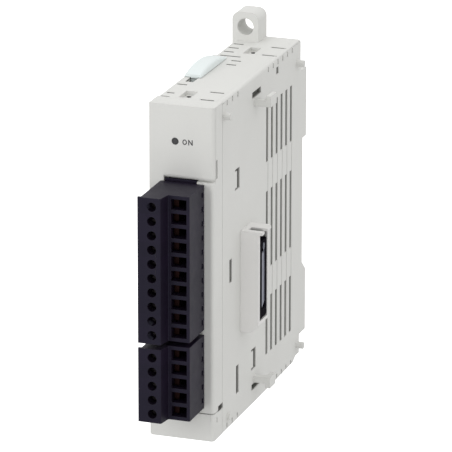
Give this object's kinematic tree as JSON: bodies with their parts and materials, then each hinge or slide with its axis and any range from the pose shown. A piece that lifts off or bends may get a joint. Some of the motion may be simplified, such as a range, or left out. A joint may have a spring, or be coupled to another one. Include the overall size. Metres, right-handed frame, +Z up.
{
  "type": "rail-mounted plc module",
  "caption": "Slim white rail module with pluggable black screw terminal blocks on the front, side bus connector, slide locks, rail hook and screw tabs.",
  "frame": {"origin": "on the plane of the rear rail blocks, at the centre of the 35 mm rail's height and of the module's width between its two side faces", "axes": "+Z up along the module's height, +X to the right seen from the front, +Y towards the rail"},
  "size_m": [0.0236, 0.0895, 0.1059],
  "materials": {
    "white_plastic": "fine satin",
    "black_plastic": "satin",
    "lock_plastic": "smooth",
    "screw_steel": "zinc plated",
    "contact_brass": "tinned copper alloy",
    "pin_metal": "bright",
    "board_green": "solder mask",
    "chip_black": "matt",
    "can_metal": "satin",
    "coil_yellow": "tape",
    "lamp_clear": "clear, unlit",
    "strip_grey": "satin",
    "spring_steel": "drawn wire"
  },
  "bodies": {
    "case": {"main_case": "white_plastic", "side_plate": "white_plastic", "front_frame": "white_plastic", "name_cover": "white_plastic", "foot_cover": "white_plastic", "upper_header": "black_plastic", "lower_header": "black_plastic", "upper_header_pins": "pin_metal", "lower_header_pins": "pin_metal", "main_board": "board_green", "board_chips": "chip_black", "board_capacitors": "can_metal", "power_transformer": "coil_yellow", "board_screws": "screw_steel", "power_lamp": "lamp_clear", "light_pipe": "lamp_clear", "bus_plug": "black_plastic", "bus_plug_contacts": "strip_grey", "bus_socket": "black_plastic", "bus_socket_contacts": "pin_metal", "rail_spring": "spring_steel"},
    "upper_slide_lock": {"upper_slide_lock": "lock_plastic"},
    "lower_slide_lock": {"lower_slide_lock": "lock_plastic"},
    "rail_hook": {"rail_hook": "white_plastic"},
    "socket_cover": {"socket_cover": "white_plastic"},
    "upper_plug": {"upper_plug": "black_plastic", "upper_plug_contacts": "contact_brass"},
    "upper_screw_01": {"upper_screw_01": "screw_steel"},
    "upper_jaw_01": {"upper_jaw_01": "contact_brass"},
    "upper_screw_02": {"upper_screw_02": "screw_steel"},
    "upper_jaw_02": {"upper_jaw_02": "contact_brass"},
    "upper_screw_03": {"upper_screw_03": "screw_steel"},
    "upper_jaw_03": {"upper_jaw_03": "contact_brass"},
    "upper_screw_04": {"upper_screw_04": "screw_steel"},
    "upper_jaw_04": {"upper_jaw_04": "contact_brass"},
    "upper_screw_05": {"upper_screw_05": "screw_steel"},
    "upper_jaw_05": {"upper_jaw_05": "contact_brass"},
    "upper_screw_06": {"upper_screw_06": "screw_steel"},
    "upper_jaw_06": {"upper_jaw_06": "contact_brass"},
    "upper_screw_07": {"upper_screw_07": "screw_steel"},
    "upper_jaw_07": {"upper_jaw_07": "contact_brass"},
    "upper_screw_08": {"upper_screw_08": "screw_steel"},
    "upper_jaw_08": {"upper_jaw_08": "contact_brass"},
    "upper_screw_09": {"upper_screw_09": "screw_steel"},
    "upper_jaw_09": {"upper_jaw_09": "contact_brass"},
    "upper_screw_10": {"upper_screw_10": "screw_steel"},
    "upper_jaw_10": {"upper_jaw_10": "contact_brass"},
    "lower_plug": {"lower_plug": "black_plastic", "lower_plug_contacts": "contact_brass"},
    "lower_screw_01": {"lower_screw_01": "screw_steel"},
    "lower_jaw_01": {"lower_jaw_01": "contact_brass"},
    "lower_screw_02": {"lower_screw_02": "screw_steel"},
    "lower_jaw_02": {"lower_jaw_02": "contact_brass"},
    "lower_screw_03": {"lower_screw_03": "screw_steel"},
    "lower_jaw_03": {"lower_jaw_03": "contact_brass"},
    "lower_screw_04": {"lower_screw_04": "screw_steel"},
    "lower_jaw_04": {"lower_jaw_04": "contact_brass"},
    "lower_screw_05": {"lower_screw_05": "screw_steel"},
    "lower_jaw_05": {"lower_jaw_05": "contact_brass"}
  },
  "joints": [
    {"name": "upper_plug_pull", "type": "slide", "parent": "case", "child": "upper_plug", "axis": [0, -1, 0], "range_m": [0, 0.01]},
    {"name": "upper_screw_01_turn", "type": "hinge", "parent": "upper_plug", "child": "upper_screw_01", "pos_m": [-0.00245, -0.0895, 0.02279], "axis": [0, 1, 0], "range_deg": [0, 1080]},
    {"name": "upper_jaw_01_clamp", "type": "slide", "parent": "upper_plug", "child": "upper_jaw_01", "axis": [1, 0, 0], "range_m": [0, 0.0018]},
    {"name": "upper_screw_02_turn", "type": "hinge", "parent": "upper_plug", "child": "upper_screw_02", "pos_m": [-0.00245, -0.0895, 0.01898], "axis": [0, 1, 0], "range_deg": [0, 1080]},
    {"name": "upper_jaw_02_clamp", "type": "slide", "parent": "upper_plug", "child": "upper_jaw_02", "axis": [1, 0, 0], "range_m": [0, 0.0018]},
    {"name": "upper_screw_03_turn", "type": "hinge", "parent": "upper_plug", "child": "upper_screw_03", "pos_m": [-0.00245, -0.0895, 0.01517], "axis": [0, 1, 0], "range_deg": [0, 1080]},
    {"name": "upper_jaw_03_clamp", "type": "slide", "parent": "upper_plug", "child": "upper_jaw_03", "axis": [1, 0, 0], "range_m": [0, 0.0018]},
    {"name": "upper_screw_04_turn", "type": "hinge", "parent": "upper_plug", "child": "upper_screw_04", "pos_m": [-0.00245, -0.0895, 0.01137], "axis": [0, 1, 0], "range_deg": [0, 1080]},
    {"name": "upper_jaw_04_clamp", "type": "slide", "parent": "upper_plug", "child": "upper_jaw_04", "axis": [1, 0, 0], "range_m": [0, 0.0018]},
    {"name": "upper_screw_05_turn", "type": "hinge", "parent": "upper_plug", "child": "upper_screw_05", "pos_m": [-0.00245, -0.0895, 0.00756], "axis": [0, 1, 0], "range_deg": [0, 1080]},
    {"name": "upper_jaw_05_clamp", "type": "slide", "parent": "upper_plug", "child": "upper_jaw_05", "axis": [1, 0, 0], "range_m": [0, 0.0018]},
    {"name": "upper_screw_06_turn", "type": "hinge", "parent": "upper_plug", "child": "upper_screw_06", "pos_m": [-0.00245, -0.0895, 0.00375], "axis": [0, 1, 0], "range_deg": [0, 1080]},
    {"name": "upper_jaw_06_clamp", "type": "slide", "parent": "upper_plug", "child": "upper_jaw_06", "axis": [1, 0, 0], "range_m": [0, 0.0018]},
    {"name": "upper_screw_07_turn", "type": "hinge", "parent": "upper_plug", "child": "upper_screw_07", "pos_m": [-0.00245, -0.0895, -0.00006], "axis": [0, 1, 0], "range_deg": [0, 1080]},
    {"name": "upper_jaw_07_clamp", "type": "slide", "parent": "upper_plug", "child": "upper_jaw_07", "axis": [1, 0, 0], "range_m": [0, 0.0018]},
    {"name": "upper_screw_08_turn", "type": "hinge", "parent": "upper_plug", "child": "upper_screw_08", "pos_m": [-0.00245, -0.0895, -0.00387], "axis": [0, 1, 0], "range_deg": [0, 1080]},
    {"name": "upper_jaw_08_clamp", "type": "slide", "parent": "upper_plug", "child": "upper_jaw_08", "axis": [1, 0, 0], "range_m": [0, 0.0018]},
    {"name": "upper_screw_09_turn", "type": "hinge", "parent": "upper_plug", "child": "upper_screw_09", "pos_m": [-0.00245, -0.0895, -0.00768], "axis": [0, 1, 0], "range_deg": [0, 1080]},
    {"name": "upper_jaw_09_clamp", "type": "slide", "parent": "upper_plug", "child": "upper_jaw_09", "axis": [1, 0, 0], "range_m": [0, 0.0018]},
    {"name": "upper_screw_10_turn", "type": "hinge", "parent": "upper_plug", "child": "upper_screw_10", "pos_m": [-0.00245, -0.0895, -0.0115], "axis": [0, 1, 0], "range_deg": [0, 1080]},
    {"name": "upper_jaw_10_clamp", "type": "slide", "parent": "upper_plug", "child": "upper_jaw_10", "axis": [1, 0, 0], "range_m": [0, 0.0018]},
    {"name": "lower_plug_pull", "type": "slide", "parent": "case", "child": "lower_plug", "axis": [0, -1, 0], "range_m": [0, 0.01]},
    {"name": "lower_screw_01_turn", "type": "hinge", "parent": "lower_plug", "child": "lower_screw_01", "pos_m": [-0.00245, -0.0895, -0.01758], "axis": [0, 1, 0], "range_deg": [0, 1080]},
    {"name": "lower_jaw_01_clamp", "type": "slide", "parent": "lower_plug", "child": "lower_jaw_01", "axis": [1, 0, 0], "range_m": [0, 0.0018]},
    {"name": "lower_screw_02_turn", "type": "hinge", "parent": "lower_plug", "child": "lower_screw_02", "pos_m": [-0.00245, -0.0895, -0.02139], "axis": [0, 1, 0], "range_deg": [0, 1080]},
    {"name": "lower_jaw_02_clamp", "type": "slide", "parent": "lower_plug", "child": "lower_jaw_02", "axis": [1, 0, 0], "range_m": [0, 0.0018]},
    {"name": "lower_screw_03_turn", "type": "hinge", "parent": "lower_plug", "child": "lower_screw_03", "pos_m": [-0.00245, -0.0895, -0.0252], "axis": [0, 1, 0], "range_deg": [0, 1080]},
    {"name": "lower_jaw_03_clamp", "type": "slide", "parent": "lower_plug", "child": "lower_jaw_03", "axis": [1, 0, 0], "range_m": [0, 0.0018]},
    {"name": "lower_screw_04_turn", "type": "hinge", "parent": "lower_plug", "child": "lower_screw_04", "pos_m": [-0.00245, -0.0895, -0.02901], "axis": [0, 1, 0], "range_deg": [0, 1080]},
    {"name": "lower_jaw_04_clamp", "type": "slide", "parent": "lower_plug", "child": "lower_jaw_04", "axis": [1, 0, 0], "range_m": [0, 0.0018]},
    {"name": "lower_screw_05_turn", "type": "hinge", "parent": "lower_plug", "child": "lower_screw_05", "pos_m": [-0.00245, -0.0895, -0.03282], "axis": [0, 1, 0], "range_deg": [0, 1080]},
    {"name": "lower_jaw_05_clamp", "type": "slide", "parent": "lower_plug", "child": "lower_jaw_05", "axis": [1, 0, 0], "range_m": [0, 0.0018]},
    {"name": "upper_lock_slide", "type": "slide", "parent": "case", "child": "upper_slide_lock", "axis": [0, -1, 0], "range_m": [0, 0.0036]},
    {"name": "lower_lock_slide", "type": "slide", "parent": "case", "child": "lower_slide_lock", "axis": [0, -1, 0], "range_m": [0, 0.0036]},
    {"name": "rail_hook_pull", "type": "slide", "parent": "case", "child": "rail_hook", "axis": [0, 0, -1], "range_m": [0, 0.004], "stiffness_N_per_m": 300, "springref_m": -0.003, "deforming": ["rail_spring"]},
    {"name": "socket_cover_pull", "type": "slide", "parent": "case", "child": "socket_cover", "axis": [-1, 0, 0], "range_m": [0, 0.012]}
  ],
  "couplings": [
    {"joint": "upper_screw_01_turn", "follows": "upper_jaw_01_clamp", "rad_per_m": 10472},
    {"joint": "upper_screw_02_turn", "follows": "upper_jaw_02_clamp", "rad_per_m": 10472},
    {"joint": "upper_screw_03_turn", "follows": "upper_jaw_03_clamp", "rad_per_m": 10472},
    {"joint": "upper_screw_04_turn", "follows": "upper_jaw_04_clamp", "rad_per_m": 10472},
    {"joint": "upper_screw_05_turn", "follows": "upper_jaw_05_clamp", "rad_per_m": 10472},
    {"joint": "upper_screw_06_turn", "follows": "upper_jaw_06_clamp", "rad_per_m": 10472},
    {"joint": "upper_screw_07_turn", "follows": "upper_jaw_07_clamp", "rad_per_m": 10472},
    {"joint": "upper_screw_08_turn", "follows": "upper_jaw_08_clamp", "rad_per_m": 10472},
    {"joint": "upper_screw_09_turn", "follows": "upper_jaw_09_clamp", "rad_per_m": 10472},
    {"joint": "upper_screw_10_turn", "follows": "upper_jaw_10_clamp", "rad_per_m": 10472},
    {"joint": "lower_screw_01_turn", "follows": "lower_jaw_01_clamp", "rad_per_m": 10472},
    {"joint": "lower_screw_02_turn", "follows": "lower_jaw_02_clamp", "rad_per_m": 10472},
    {"joint": "lower_screw_03_turn", "follows": "lower_jaw_03_clamp", "rad_per_m": 10472},
    {"joint": "lower_screw_04_turn", "follows": "lower_jaw_04_clamp", "rad_per_m": 10472},
    {"joint": "lower_screw_05_turn", "follows": "lower_jaw_05_clamp", "rad_per_m": 10472}
  ]
}
